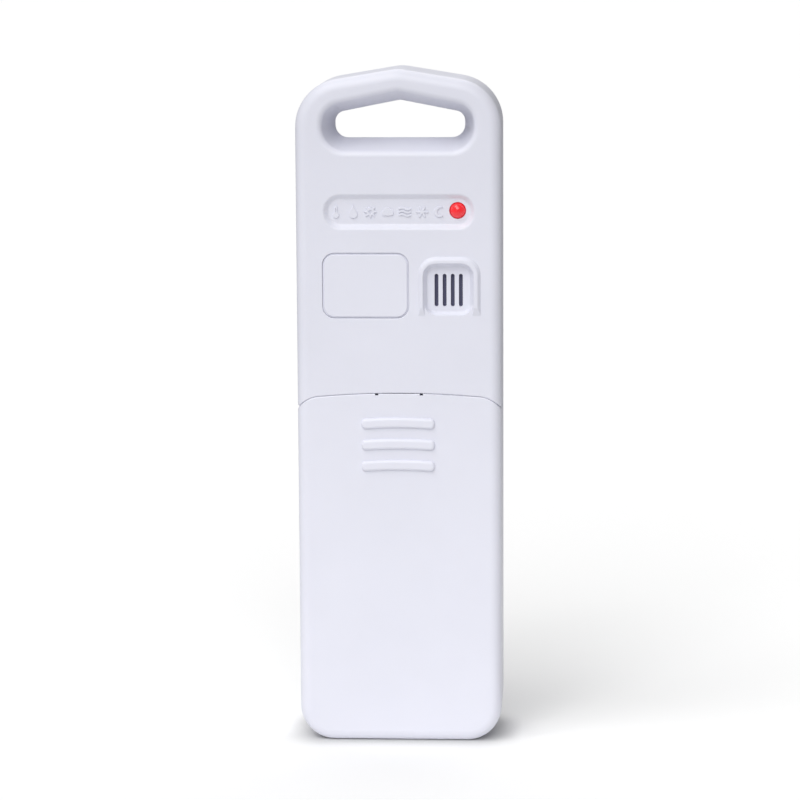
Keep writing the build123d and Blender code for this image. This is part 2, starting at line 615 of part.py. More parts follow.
def on_board_front(x, z, width, height, rise):
    """A rectangular component on the front face of the board."""
    return block(x - width / 2, x + width / 2, BOARD_FRONT_Y - rise, BOARD_FRONT_Y,
                 z - height / 2, z + height / 2)


def on_board_back(x, z, width, height, rise):
    """A rectangular component on the rear face of the board."""
    back = BOARD_FRONT_Y + BOARD_THICKNESS
    return block(x - width / 2, x + width / 2, back, back + rise, z - height / 2, z + height / 2)


def controller_chip():
    """A flat package with gull-wing leads down both sides."""
    x, z = CHIP_CENTRE
    chip = on_board_back(x, z, *CHIP_SIZE)
    for index in range(CHIP_LEAD_COUNT):
        lead_z = z + (index - (CHIP_LEAD_COUNT - 1) / 2) * CHIP_LEAD_PITCH
        chip += on_board_back(x, lead_z, *CHIP_LEAD_SIZE)
    return chip


def crystal_can():
    """A low metal can with rounded ends, lying on the board."""
    width, height, rise = CRYSTAL_SIZE
    back = BOARD_FRONT_Y + BOARD_THICKNESS
    return slab(Pos(*CRYSTAL_CENTRE) * SlotOverall(width, height), back, back + rise)


def radio_resonator():
    """A small round metal can that sets the transmit frequency."""
    x, z = RESONATOR_CENTRE
    flange_radius, can_radius = RESONATOR_RADII
    flange_height, can_height = RESONATOR_HEIGHTS
    back = BOARD_FRONT_Y + BOARD_THICKNESS
    flange = rod(x, z, flange_radius, back, back + flange_height)
    return flange + rod(x, z, can_radius, back + flange_height, back + can_height)


def antenna_coil():
    """A sprung wire aerial lying across the board's rear face."""
    coil = Helix(pitch=COIL_PITCH, height=COIL_LENGTH, radius=COIL_RADIUS)
    section = Plane(coil @ 0, z_dir=coil % 0) * Circle(COIL_WIRE)
    wire = sweep(section, path=coil, is_frenet=True)
    x, z = COIL_CENTRE
    y = BOARD_FRONT_Y + BOARD_THICKNESS + COIL_RADIUS + 2 * COIL_WIRE
    return Pos(x, y, z) * Rot(0, 90, 0) * wire


def filter_capacitor():
    """A round electrolytic can lying across the board."""
    x, z = CAPACITOR_CENTRE
    y = BOARD_FRONT_Y + BOARD_THICKNESS + CAPACITOR_RADIUS
    return Pos(x, y, z) * Rot(0, 90, 0) * Cylinder(CAPACITOR_RADIUS, CAPACITOR_LENGTH)


def humidity_sensor():
    """A small perforated block behind the vent."""
    x, z = VENT_CENTRE
    body = on_board_front(x, z, *SENSOR_SIZE)
    face_y = BOARD_FRONT_Y - SENSOR_SIZE[2]
    places = (-1.5, -0.5, 0.5, 1.5)
    for column in places:
        for row in places:
            hole_x = x + column * SENSOR_HOLE_PITCH[0]
            hole_z = z + row * SENSOR_HOLE_PITCH[1]
            body -= rod(hole_x, hole_z, SENSOR_HOLE_RADIUS, face_y - PAST, face_y + SENSOR_HOLE_DEPTH)
    return body


def temperature_bead():
    """A thermistor: a small bead on two wires."""
    bead_x, z = VENT_CENTRE[0] + BEAD_OFFSET_X, VENT_CENTRE[1]
    bead = Pos(bead_x, BOARD_FRONT_Y - BEAD_STANDOFF, z) * Sphere(BEAD_RADIUS)
    for x in (bead_x - 0.5, bead_x + 0.5):
        bead += rod(x, z, BEAD_WIRE_RADIUS, BOARD_FRONT_Y - BEAD_WIRE_LENGTH, BOARD_FRONT_Y)
    return bead


# ---------------------------------------------------------------- channel switch

def switch_space(half_width, half_height, y_from, y_to):
    """A box centred on the channel switch."""
    x, z = SWITCH_CENTRE
    return block(x - half_width, x + half_width, y_from, y_to, z - half_height, z + half_height)


def channel_switch_housing():
    """The can of the slide switch, with the slot that its slider runs in."""
    width, depth, height = SWITCH_SIZE
    front = BOARD_FRONT_Y - depth
    slot_width, slot_height = SWITCH_SLOT
    housing = switch_space(width / 2, height / 2, front, BOARD_FRONT_Y)
    housing -= switch_space(width / 2 - SWITCH_WALL, height / 2 - SWITCH_WALL,
                            front + SWITCH_WALL, BOARD_FRONT_Y - SWITCH_WALL)
    housing -= switch_space(slot_width / 2, slot_height / 2, front - PAST, front + 2 * SWITCH_WALL)
    return housing


def channel_switch_slider():
    """The slider: a base trapped in the can and the finger knob in front."""
    front = BOARD_FRONT_Y - SWITCH_SIZE[1]
    width, thickness, height = SLIDER_BASE
    base_front = front + SWITCH_WALL + SLIDER_RUNNING_GAP
    base = switch_space(width / 2, height / 2, base_front, base_front + thickness)
    knob_width, knob_height = SLIDER_KNOB
    return base + switch_space(knob_width / 2, knob_height / 2, front - SLIDER_PROUD, base_front + thickness)


# ---------------------------------------------------------------- batteries

def battery_tray():
    """The moulded cradle for two cells, with lips that the cover's rails hook behind."""
    w = TRAY_HALF_WIDTH
    floor_y = TRAY_BACK_Y - TRAY_FLOOR
    low = TRAY_BOTTOM_Z + TRAY_END
    high = TRAY_TOP_Z - TRAY_END
    tray = block(-w, w, TRAY_FRONT_Y, TRAY_BACK_Y, TRAY_BOTTOM_Z, TRAY_TOP_Z)
    tray -= block(-w + TRAY_SIDE, w - TRAY_SIDE, TRAY_FRONT_Y - PAST, floor_y, low, high)
    lip_width, lip_depth = TRAY_LIP
    inner_x = w - TRAY_SIDE / 2
    for low_x, high_x in ((-w - lip_width, -inner_x), (inner_x, w + lip_width)):
        tray += block(low_x, high_x, TRAY_FRONT_Y, TRAY_FRONT_Y + lip_depth,
                      TRAY_BOTTOM_Z + TRAY_LIP_END, TRAY_TOP_Z - TRAY_LIP_END)
    foot, crest = [width / 2 for width in RIDGE_WIDTHS]
    foot_y = floor_y + TRAY_FLOOR / 2
    ridge = Polyline((-crest, floor_y - RIDGE_HEIGHT), (crest, floor_y - RIDGE_HEIGHT), (foot, floor_y),
                     (foot, foot_y), (-foot, foot_y), (-foot, floor_y), close=True)
    tray += extrude(Pos(0, 0, low) * make_face(ridge), high - low)
    for x in (-CELL_X, CELL_X):
        for z in (TRAY_BOTTOM_Z + TRAY_END / 2, TRAY_TOP_Z - TRAY_END / 2):
            tray -= block(x - NOTCH_HALF_WIDTH, x + NOTCH_HALF_WIDTH, TRAY_FRONT_Y - PAST, NOTCH_FLOOR_Y,
                          z - TRAY_END, z + TRAY_END)
    return tray


def cell_base_z(nub_up):
    """Height of the flat end of a cell: the nub end rests against its plate."""
    reach = TRAY_END + CONTACT_THICKNESS + DIMPLE_HEIGHT + CELL_NUB_HEIGHT
    if nub_up:
        return TRAY_TOP_Z - reach - CELL_LENGTH
    return TRAY_BOTTOM_Z + reach


def aa_cell(x, nub_up):
    """A steel can with its positive nub."""
    base_z = cell_base_z(nub_up)
    can = Pos(x, CELL_Y, base_z + CELL_LENGTH / 2) * Cylinder(CELL_RADIUS, CELL_LENGTH)
    can = fillet(can.edges().filter_by(GeomType.CIRCLE), CELL_EDGE)
    nub_z = base_z + CELL_LENGTH + CELL_NUB_HEIGHT / 2 if nub_up else base_z - CELL_NUB_HEIGHT / 2
    return can + Pos(x, CELL_Y, nub_z) * Cylinder(CELL_NUB_RADIUS, CELL_NUB_HEIGHT)


def aa_sleeve(x, nub_up):
    """The printed film wrapped round a cell."""
    base_z = cell_base_z(nub_up)
    length = CELL_LENGTH - 2 * SLEEVE_SHORT
    middle = Pos(x, CELL_Y, base_z + CELL_LENGTH / 2)
    return middle * (Cylinder(CELL_RADIUS + SLEEVE_THICKNESS, length) - Cylinder(CELL_RADIUS, length))


def contact_z(at_top):
    """Height of the middle of a contact's plate, which lies against the end wall of the tray."""
    if at_top:
        return TRAY_TOP_Z - TRAY_END - CONTACT_THICKNESS / 2
    return TRAY_BOTTOM_Z + TRAY_END + CONTACT_THICKNESS / 2


def contact_square(x, z):
    """The square plate of a contact."""
    return Pos(x, CELL_Y + CONTACT_SHIFT_Y, z) * Box(CONTACT_SIZE, CONTACT_SIZE, CONTACT_THICKNESS)


def contact_plate(x, at_top):
    """A pressed metal plate with a raised dimple that the nub rests against."""
    towards_cell = -1 if at_top else 1
    z = contact_z(at_top)
    dimple_z = z + towards_cell * (CONTACT_THICKNESS + DIMPLE_HEIGHT) / 2
    return contact_square(x, z) + Pos(x, CELL_Y, dimple_z) * Cylinder(DIMPLE_RADIUS, DIMPLE_HEIGHT)


def contact_spring(x, at_top):
    """A coil spring on its plate, pressed against the flat end of a cell."""
    gap = cell_base_z(True) - contact_z(False) - CONTACT_THICKNESS / 2
    height = gap - 2 * SPRING_SEAT * SPRING_WIRE
    coil = Helix(pitch=height / SPRING_TURNS, height=height, radius=SPRING_RADIUS)
    section = Plane(coil @ 0, z_dir=coil % 0) * Circle(SPRING_WIRE)
    wire = sweep(section, path=coil, is_frenet=True)
    plate_z = contact_z(at_top)
    lift = CONTACT_THICKNESS / 2 + SPRING_WIRE * SPRING_SEAT
    if at_top:
        wire = Pos(x, CELL_Y, plate_z - lift) * Rot(180, 0, 0) * wire
    else:
        wire = Pos(x, CELL_Y, plate_z + lift) * wire
    return Compound(children=[contact_square(x, plate_z), wire])


def bridge_strip():
    """The strip across the bottom that joins the two cells in series."""
    z = TRAY_BOTTOM_Z + TRAY_END
    end_x = CELL_X - CONTACT_SIZE / 2
    return block(-end_x, end_x, CELL_Y - STRIP_HALF_DEPTH, CELL_Y + STRIP_HALF_DEPTH,
                 z, z + CONTACT_THICKNESS)


def contact_tab(x):
    """A strip from a top contact up to the back of the board's tab."""
    y_from = BOARD_FRONT_Y + BOARD_THICKNESS
    return block(x - TAB_HALF_WIDTH, x + TAB_HALF_WIDTH, y_from, y_from + CONTACT_THICKNESS,
                 TRAY_TOP_Z - TRAY_END, BOARD_TAB_Z + TAB_OVERLAP)


# ---------------------------------------------------------------- screws

def screw(x, z, radius, head_radius, head, length, head_back_y):
    """A pan-head screw driven from the back, with a cross recess."""
    shank = rod(x, z, radius, head_back_y - head - length, head_back_y - head)
    cap = rod(x, z, head_radius, head_back_y - head, head_back_y)
    cap = fillet(edges_at_depth(cap, head_back_y), head * 0.35)
    arm = head_radius * 0.62
    for half_x, half_z in ((arm, CROSS_HALF_WIDTH), (CROSS_HALF_WIDTH, arm)):
        cap -= block(x - half_x, x + half_x, head_back_y - head * 0.6, head_back_y + PAST,
                     z - half_z, z + half_z)
    return shank + cap


def case_screws():
    """The four screws that hold the two shells together, sunk into the back."""
    back_y = BACK_Y - CASE_SCREW_SINK
    size = (CASE_SCREW_RADIUS, CASE_SCREW_HEAD_RADIUS, CASE_SCREW_HEAD, CASE_SCREW_LENGTH)
    return Compound(children=[screw(x, z, *size, back_y) for x, z in CASE_SCREWS])


def board_screws():
    """The two screws that hold the board to its bosses."""
    back_y = BOARD_FRONT_Y + BOARD_THICKNESS + BOARD_SCREW_HEAD
    size = (BOARD_SCREW_RADIUS, BOARD_SCREW_HEAD_RADIUS, BOARD_SCREW_HEAD, BOARD_SCREW_LENGTH)
    return Compound(children=[screw(x, z, *size, back_y) for x, z in BOARD_SCREWS])


nodes = {
    "front_shell": front_shell(),
    "rear_shell": rear_shell(),
    "battery_cover": battery_cover(),
    "label_plate": label_plate(),
    "status_led": status_led(),
    "led_leads": led_leads(),
    "dust_filter": dust_filter(),
    "circuit_board": circuit_board(),
    "controller_chip": controller_chip(),
    "crystal_can": crystal_can(),
    "radio_resonator": radio_resonator(),
    "antenna_coil": antenna_coil(),
    "filter_capacitor": filter_capacitor(),
    "humidity_sensor": humidity_sensor(),
    "temperature_bead": temperature_bead(),
    "channel_switch_housing": channel_switch_housing(),
    "channel_switch_slider": channel_switch_slider(),
    "battery_tray": battery_tray(),
    "aa_cell_left": aa_cell(-CELL_X, True),
    "aa_cell_right": aa_cell(CELL_X, False),
    "aa_sleeve_left": aa_sleeve(-CELL_X, True),
    "aa_sleeve_right": aa_sleeve(CELL_X, False),
    "positive_contact_top": contact_plate(-CELL_X, True),
    "positive_contact_bottom": contact_plate(CELL_X, False),
    "negative_spring_top": contact_spring(CELL_X, True),
    "negative_spring_bottom": contact_spring(-CELL_X, False),
    "bridge_strip": bridge_strip(),
    "contact_tab_positive": contact_tab(-CELL_X),
    "contact_tab_negative": contact_tab(CELL_X),
    "case_screws": case_screws(),
    "board_screws": board_screws(),
}

os.makedirs("parts", exist_ok=True)
for name, shape in nodes.items():
    export_step(shape, f"parts/{name}.step")
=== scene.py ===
import json
import math

import bpy
from mathutils import Matrix, Vector


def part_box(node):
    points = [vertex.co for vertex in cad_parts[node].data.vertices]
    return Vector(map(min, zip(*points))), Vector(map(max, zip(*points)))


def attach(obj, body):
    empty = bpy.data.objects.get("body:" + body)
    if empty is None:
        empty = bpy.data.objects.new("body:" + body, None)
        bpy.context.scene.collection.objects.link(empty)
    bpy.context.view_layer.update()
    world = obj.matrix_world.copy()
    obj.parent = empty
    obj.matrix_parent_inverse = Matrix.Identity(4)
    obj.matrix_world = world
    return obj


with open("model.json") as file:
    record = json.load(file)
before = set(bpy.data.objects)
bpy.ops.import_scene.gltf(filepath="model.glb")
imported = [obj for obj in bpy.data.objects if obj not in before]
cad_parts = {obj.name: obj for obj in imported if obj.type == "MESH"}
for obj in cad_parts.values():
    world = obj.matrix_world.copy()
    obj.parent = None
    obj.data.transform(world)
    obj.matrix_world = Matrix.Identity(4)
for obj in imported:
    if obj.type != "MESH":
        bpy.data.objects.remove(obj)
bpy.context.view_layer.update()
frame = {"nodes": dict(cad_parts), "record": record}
nodes = frame["nodes"]

MM = 0.001

# The camera stands a little to the object's right, above it, and looks down at it. Its distance and
# height are in metres, its lens and sensor in millimetres.
CAMERA_DISTANCE = 0.600
CAMERA_AZIMUTH = math.radians(3.179)
CAMERA_HEIGHT = 0.1569
CAMERA_PITCH = math.radians(8.606)
CAMERA_YAW = math.radians(0.034)
CAMERA_ROLL = math.radians(-0.317)
CAMERA_LENS = 139.43
CAMERA_SENSOR_WIDTH = 36
CAMERA_CLIP = (0.01, 100)

# The paper floor, as the camera sees it: its colour in the open, and a painted contact shadow that darkens
# it where the object nearly touches it. The stops go from a spot that the object covers to a spot with
# nothing within reach.
FLOOR_SIZE = 24.0
SEEN_FLOOR_COLOR = (1.0, 1.0, 1.0, 1)
PAINTED_CONTACT_SHADOW = (0.58, 0.58, 0.58, 1)
PAINTED_NEAR_CONTACT_SHADOW = (0.66, 0.66, 0.66, 1)
PAINTED_SHADOW_REACH = 6 * MM
PAINTED_SHADOW_STOPS = ((0.1, PAINTED_CONTACT_SHADOW), (0.5, PAINTED_NEAR_CONTACT_SHADOW), (0.95, SEEN_FLOOR_COLOR))

# The light that the paper throws back: near the object, and past the paper's edge, which is soft
FLOOR_COLOR = (0.90, 0.90, 0.90, 1)
FAR_FLOOR_COLOR = (0.30, 0.30, 0.31, 1)
PAPER_EDGE = (0.10, 0.45)

# The room: what the camera sees, and the light it gives
BACKGROUND = (1.0, 1.0, 1.0, 1)
ROOM_LIGHT = (0.25, 0.25, 0.25, 1)

# Large soft lights: name, direction it comes from, strength, and the spread that softens its shadows
LIGHTS = (("key", (-0.375, -0.375, 0.848), 1.0, math.radians(34)),
          ("front", (-0.12, -1.0, 0.70), 1.56, math.radians(44)),
          ("back", (0.0, 0.6, 0.8), 0.88, math.radians(60)))


# ---------------------------------------------------------------- node helpers

# Numbers of a Mix node's colour sockets; their names are the same for every data type
MIX_A = 6
MIX_B = 7
MIX_RESULT = 2

# Noise seldom leaves this range, so the colours that it mixes are set at the two ends
NOISE_LOW = 0.3
NOISE_HIGH = 0.7


def new_material(name):
    """An empty node material with its shader; returns the material, its tree and the shader."""
    material = bpy.data.materials.new(name)
    material.use_nodes = True
    tree = material.node_tree
    return material, tree, tree.nodes["Principled BSDF"]


def add(tree, kind, **properties):
    """A shader node with some of its properties set."""
    node = tree.nodes.new(kind)
    for name, value in properties.items():
        setattr(node, name, value)
    return node


def object_noise(tree, scale, detail, stretch=(1, 1, 1)):
    """Noise in the object's own coordinates; scale counts its features in a metre, before any stretch."""
    coordinates = add(tree, "ShaderNodeTexCoord")
    mapping = add(tree, "ShaderNodeMapping")
    mapping.inputs["Scale"].default_value = stretch
    noise = add(tree, "ShaderNodeTexNoise")
    noise.inputs["Scale"].default_value = scale
    noise.inputs["Detail"].default_value = detail
    tree.links.new(coordinates.outputs["Object"], mapping.inputs["Vector"])
    tree.links.new(mapping.outputs["Vector"], noise.inputs["Vector"])
    return noise.outputs["Fac"]


def ramp(tree, source, stops):
    """A colour ramp driven by a value; stops are (position, colour) pairs."""
    node = add(tree, "ShaderNodeValToRGB")
    elements = node.color_ramp.elements
    while len(elements) < len(stops):
        elements.new(0.5)
    for element, (position, color) in zip(elements, stops):
        element.position = position
        element.color = color
    tree.links.new(source, node.inputs["Fac"])
    return node.outputs["Color"]


def raised(tree, shader, source, height):
    """A value as bump, height in metres."""
    bump = add(tree, "ShaderNodeBump")
    bump.inputs["Distance"].default_value = height
    tree.links.new(source, bump.inputs["Height"])
    tree.links.new(bump.outputs["Normal"], shader.inputs["Normal"])


def uneven_color(tree, shader, source, dark, light):
    """Base colour that a noise moves between two limits."""
    tint = ramp(tree, source, [(NOISE_LOW, dark), (NOISE_HIGH, light)])
    tree.links.new(tint, shader.inputs["Base Color"])


def uneven_gloss(tree, shader, source, low, high):
    """Roughness that a noise moves between two limits."""
    spread = add(tree, "ShaderNodeMapRange")
    spread.inputs["To Min"].default_value = low
    spread.inputs["To Max"].default_value = high
    tree.links.new(source, spread.inputs["Value"])
    tree.links.new(spread.outputs["Result"], shader.inputs["Roughness"])


def from_zero_to_one(tree, source, low, high):
    """How far a value has come from one limit to another, kept between 0 and 1."""
    reach = add(tree, "ShaderNodeMapRange")
    reach.inputs["From Min"].default_value = low
    reach.inputs["From Max"].default_value = high
    tree.links.new(source, reach.inputs["Value"])
    return reach.outputs["Result"]


def seen_or_bounced(tree, bounced, seen, target):
    """One colour for bounced light and one for the camera; each is a socket or a fixed colour."""
    path = add(tree, "ShaderNodeLightPath")
    choose = add(tree, "ShaderNodeMix", data_type="RGBA")
    tree.links.new(path.outputs["Is Camera Ray"], choose.inputs["Factor"])
    for index, color in ((MIX_A, bounced), (MIX_B, seen)):
        if isinstance(color, tuple):
            choose.inputs[index].default_value = color
        else:
            tree.links.new(color, choose.inputs[index])
    tree.links.new(choose.outputs[MIX_RESULT], target)


def shade(color, factor):
    """The colour made lighter or darker, with full alpha."""
    return tuple(min(1.0, c * factor) for c in color[:3]) + (1,)


def moulded_plastic(name, color, roughness=0.4, grain_height=0.006 * MM, grain_scale=3500, soft=0.0):
    """Moulded plastic with a fine spark-eroded grain and a faint unevenness of colour and gloss."""
    material, tree, shader = new_material(name)
    clouds = object_noise(tree, scale=60, detail=3)
    uneven_color(tree, shader, clouds, shade(color, 0.985), shade(color, 1.01))
    uneven_gloss(tree, shader, clouds, roughness - 0.03, roughness + 0.03)
    shader.inputs["IOR"].default_value = 1.46
    if soft:
        shader.inputs["Subsurface Weight"].default_value = soft
        shader.inputs["Subsurface Radius"].default_value = (1.0, 0.9, 0.8)
        shader.inputs["Subsurface Scale"].default_value = 0.6 * MM
    raised(tree, shader, object_noise(tree, grain_scale, detail=2), grain_height)
    return material


def metal(name, color, roughness, brush=(1, 1, 1)):
    """Bare or plated metal with fine scratches, drawn out along the axis whose brush value is small."""
    material, tree, shader = new_material(name)
    scratches = object_noise(tree, scale=2500, detail=4, stretch=brush)
    uneven_color(tree, shader, scratches, shade(color, 0.88), shade(color, 1.06))
    shader.inputs["Metallic"].default_value = 1.0
    uneven_gloss(tree, shader, scratches, roughness - 0.06, roughness + 0.08)
    raised(tree, shader, scratches, 0.002 * MM)
    return material


# ---------------------------------------------------------------- materials

PLASTIC_WHITE = (0.775, 0.78, 0.865)

LED_DARK_RED = (0.70, 0.012, 0.02, 1)
LED_LIGHT_RED = (0.86, 0.03, 0.035, 1)
# A faint painted glow that makes the LED's lens look bright
LED_PAINTED_GLOW = (1.0, 0.02, 0.03, 1)

# The bands on the cells' sleeves; each stop is a share of the way from the middle of a cell to its end
sleeve_low, sleeve_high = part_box("aa_sleeve_left")
SLEEVE_MIDDLE_Z = (sleeve_low[2] + sleeve_high[2]) / 2
SLEEVE_HALF_LENGTH = (sleeve_high[2] - sleeve_low[2]) / 2
SLEEVE_BLUE = (0.03, 0.16, 0.40, 1)
SLEEVE_PALE = (0.75, 0.78, 0.80, 1)
SLEEVE_GREY = (0.30, 0.33, 0.37, 1)
SLEEVE_BANDS = ((0.0, SLEEVE_BLUE), (0.52, SLEEVE_BLUE), (0.53, SLEEVE_PALE), (0.58, SLEEVE_PALE),
                (0.59, SLEEVE_GREY), (0.90, SLEEVE_GREY), (0.91, SLEEVE_PALE))

# The circuit board's mask and its tracks, which run round a wall of blocks of these sizes
MASK_GREEN = (0.012, 0.12, 0.05, 1)
LIGHTER_MASK_GREEN = (0.016, 0.15, 0.06, 1)
TRACK_GREEN = (0.05, 0.30, 0.12, 1)
TRACK_WIDTH = 0.16 * MM
TRACK_RISE = 0.03 * MM
BLOCK_LENGTH = 5.2 * MM
BLOCK_HEIGHT = 1.9 * MM


def led_red():
    """Tinted clear epoxy with a faint painted glow that makes the lens look bright."""
    material, tree, shader = new_material("led_red")
    clouds = object_noise(tree, scale=900, detail=2)
    uneven_color(tree, shader, clouds, LED_DARK_RED, LED_LIGHT_RED)
    shader.inputs["Roughness"].default_value = 0.16
    shader.inputs["IOR"].default_value = 1.5
    shader.inputs["Coat Weight"].default_value = 0.4
    # Painted glow: a faint emission that brightens the red lens
    shader.inputs["Emission Color"].default_value = LED_PAINTED_GLOW
    shader.inputs["Emission Strength"].default_value = 0.22
    return material


def sleeve_film():
    """Glossy printed film: plain bands round the cell, the same at both ends."""
    material, tree, shader = new_material("sleeve_film")
    coordinates = add(tree, "ShaderNodeTexCoord")
    parts = add(tree, "ShaderNodeSeparateXYZ")
    tree.links.new(coordinates.outputs["Object"], parts.inputs["Vector"])
    from_middle = add(tree, "ShaderNodeMath", operation="SUBTRACT")
    from_middle.inputs[1].default_value = SLEEVE_MIDDLE_Z
    tree.links.new(parts.outputs["Z"], from_middle.inputs[0])
    distance = add(tree, "ShaderNodeMath", operation="ABSOLUTE")
    tree.links.new(from_middle.outputs["Value"], distance.inputs[0])
    along = from_zero_to_one(tree, distance.outputs["Value"], 0.0, SLEEVE_HALF_LENGTH)
    tree.links.new(ramp(tree, along, SLEEVE_BANDS), shader.inputs["Base Color"])
    shader.inputs["Metallic"].default_value = 0.35
    uneven_gloss(tree, shader, object_noise(tree, scale=300, detail=3), 0.16, 0.26)
    raised(tree, shader, object_noise(tree, scale=600, detail=2), 0.003 * MM)
    return material


def board_green():
    """Green solder mask over a maze of copper tracks, which show as slightly lighter, raised lines."""
    material, tree, shader = new_material("board_green")
    coordinates = add(tree, "ShaderNodeTexCoord")
    upright = add(tree, "ShaderNodeMapping")
    upright.inputs["Rotation"].default_value = (math.pi / 2, 0, 0)
    tree.links.new(coordinates.outputs["Object"], upright.inputs["Vector"])
    tracks = add(tree, "ShaderNodeTexBrick")
    tracks.inputs["Color1"].default_value = MASK_GREEN
    tracks.inputs["Color2"].default_value = LIGHTER_MASK_GREEN
    tracks.inputs["Mortar"].default_value = TRACK_GREEN
    tracks.inputs["Scale"].default_value = 1.0
    tracks.inputs["Brick Width"].default_value = BLOCK_LENGTH
    tracks.inputs["Row Height"].default_value = BLOCK_HEIGHT
    tracks.inputs["Mortar Size"].default_value = TRACK_WIDTH
    tree.links.new(upright.outputs["Vector"], tracks.inputs["Vector"])
    tree.links.new(tracks.outputs["Color"], shader.inputs["Base Color"])
    uneven_gloss(tree, shader, object_noise(tree, scale=500, detail=3), 0.24, 0.36)
    raised(tree, shader, tracks.outputs["Fac"], TRACK_RISE)
    return material


materials = {
    "case_white": moulded_plastic("case_white", PLASTIC_WHITE, soft=0.06),
    "cover_white": moulded_plastic("cover_white", shade(PLASTIC_WHITE, 1.01), soft=0.06),
    "label_white": moulded_plastic("label_white", shade(PLASTIC_WHITE, 1.01), 0.36, 0.003 * MM),
    "led_red": led_red(),
    "tinned_wire": metal("tinned_wire", (0.72, 0.72, 0.73), 0.3),
    "filter_felt": moulded_plastic("filter_felt", (0.10, 0.10, 0.16), 0.95, 0.08 * MM, 5000),
    "board_green": board_green(),
    "chip_black": moulded_plastic("chip_black", (0.018, 0.018, 0.02), 0.5),
    "can_metal": metal("can_metal", (0.68, 0.68, 0.69), 0.28, (1, 1, 0.05)),
    "aerial_copper": metal("aerial_copper", (0.78, 0.36, 0.18), 0.25),
    "capacitor_film": moulded_plastic("capacitor_film", (0.02, 0.03, 0.09), 0.2),
    "sensor_block": moulded_plastic("sensor_block", (0.86, 0.86, 0.83), 0.5),
    "bead_epoxy": moulded_plastic("bead_epoxy", (0.02, 0.02, 0.02), 0.15),
    "switch_steel": metal("switch_steel", (0.62, 0.62, 0.63), 0.3, (0.05, 1, 1)),
    "slider_black": moulded_plastic("slider_black", (0.025, 0.025, 0.028), 0.45),
    "tray_white": moulded_plastic("tray_white", shade(PLASTIC_WHITE, 0.97), 0.45),
    "cell_steel": metal("cell_steel", (0.72, 0.72, 0.71), 0.24),
    "sleeve_film": sleeve_film(),
    "contact_nickel": metal("contact_nickel", (0.74, 0.71, 0.66), 0.26, (1, 0.06, 1)),
    "screw_zinc": metal("screw_zinc", (0.6, 0.61, 0.64), 0.32),
}

for part in frame["record"]["subparts"]:
    mesh = nodes[part["node"]].data
    mesh.materials.clear()
    mesh.materials.append(materials[part["material_slot"]])


# ---------------------------------------------------------------- nameplate marks

# Seven small weather signs stand in a row in the nameplate recess, in low relief. They are drawn about
# one unit to each side of their middle. The row is placed from the status light and the front of the hood.
MARK_UNIT = 1.15 * MM
MARK_PITCH = 3.3 * MM
MARK_ROW_START = -23.3 * MM
MARK_DROP = 0.25 * MM
MARK_RISE = 0.22 * MM
MARK_EDGE = 0.05 * MM
RECESS_BEHIND_HOOD = 1.45 * MM

# Steps in the curves that the signs are drawn with
TURN_STEPS = 96
WIDE_ARC_STEPS = 40
NARROW_ARC_STEPS = 16
SLIT_STEPS = 24
WAVE_STEPS = 24
RIBBON_END_STEPS = 8


def full_turn(steps=TURN_STEPS):
    """Angles once round, the first not repeated."""
    return [2 * math.pi * step / steps for step in range(steps)]


def arc(x, z, radius, start, end, steps):
    """Points along a round stretch, both ends included."""
    angles = [start + (end - start) * step / steps for step in range(steps + 1)]
    return [(x + radius * math.cos(a), z + radius * math.sin(a)) for a in angles]


def around(radius):
    """A closed outline whose distance from its middle is a function of the angle."""
    return [(radius(a) * math.cos(a), radius(a) * math.sin(a)) for a in full_turn()]


def exit_distance(angle, disc):
    """How far a ray from the middle runs before it leaves a disc; nothing if it misses the disc."""
    x, z, radius = disc
    along = x * math.cos(angle) + z * math.sin(angle)
    inside = radius ** 2 - (x ** 2 + z ** 2 - along ** 2)
    return along + math.sqrt(inside) if inside > 0 else 0.0


def ribbon(path, half_width):
    """A line of even width along a path, with round ends."""
    left, right = [], []
    for index, (x, z) in enumerate(path):
        before = path[max(index - 1, 0)]
        after = path[min(index + 1, len(path) - 1)]
        heading = math.atan2(after[1] - before[1], after[0] - before[0])
        left.append((x - math.sin(heading) * half_width, z + math.cos(heading) * half_width))
        right.append((x + math.sin(heading) * half_width, z - math.cos(heading) * half_width))
    caps = []
    for (x, z), neighbour in ((path[-1], path[-2]), (path[0], path[1])):
        heading = math.atan2(z - neighbour[1], x - neighbour[0])
        half_round = arc(x, z, half_width, heading + math.pi / 2, heading - math.pi / 2, RIBBON_END_STEPS)
        caps.append(half_round[1:-1])
    return left + caps[0] + right[::-1] + caps[1]


def thermometer():
    """A round bulb under a narrow stem with a slit in it."""
    bulb_radius, bulb_z = 0.46, -0.54
    stem_radius, stem_top = 0.21, 1.0
    slit_radius, slit_top = 0.09, 0.55
    meet = math.asin(stem_radius / bulb_radius)
    bulb = arc(0, bulb_z, bulb_radius, math.pi / 2 + meet, 5 * math.pi / 2 - meet, WIDE_ARC_STEPS)
    stem = arc(0, stem_top - stem_radius, stem_radius, 0, math.pi, NARROW_ARC_STEPS)
    slit = [(slit_radius * math.cos(a), (slit_top if math.sin(a) > 0 else 0) + slit_radius * math.sin(a))
            for a in full_turn(SLIT_STEPS)]
    return [bulb + stem, slit]


def drop():
    """A falling drop, pointed at the top."""
    half_width, sharpness = 0.95, 1.6
    return [[(half_width * math.sin(t) * abs(math.sin(t / 2)) ** sharpness, math.cos(t))
             for t in full_turn()]]


def sun():
    """A ring with eight rays."""
    ring, ray, ray_sharpness, ray_count, hole = 0.6, 0.42, 1.5, 8, 0.34
    outline = around(lambda a: ring + ray * max(0.0, math.cos(ray_count * a)) ** ray_sharpness)
    return [outline, around(lambda a: hole)]


def cloud():
    """Overlapping discs, each given as its middle and radius."""
    discs = [(-0.55, -0.2, 0.42), (-0.1, 0.18, 0.55), (0.5, -0.12, 0.48), (0.0, -0.28, 0.36)]
    return [around(lambda angle: max(exit_distance(angle, disc) for disc in discs))]


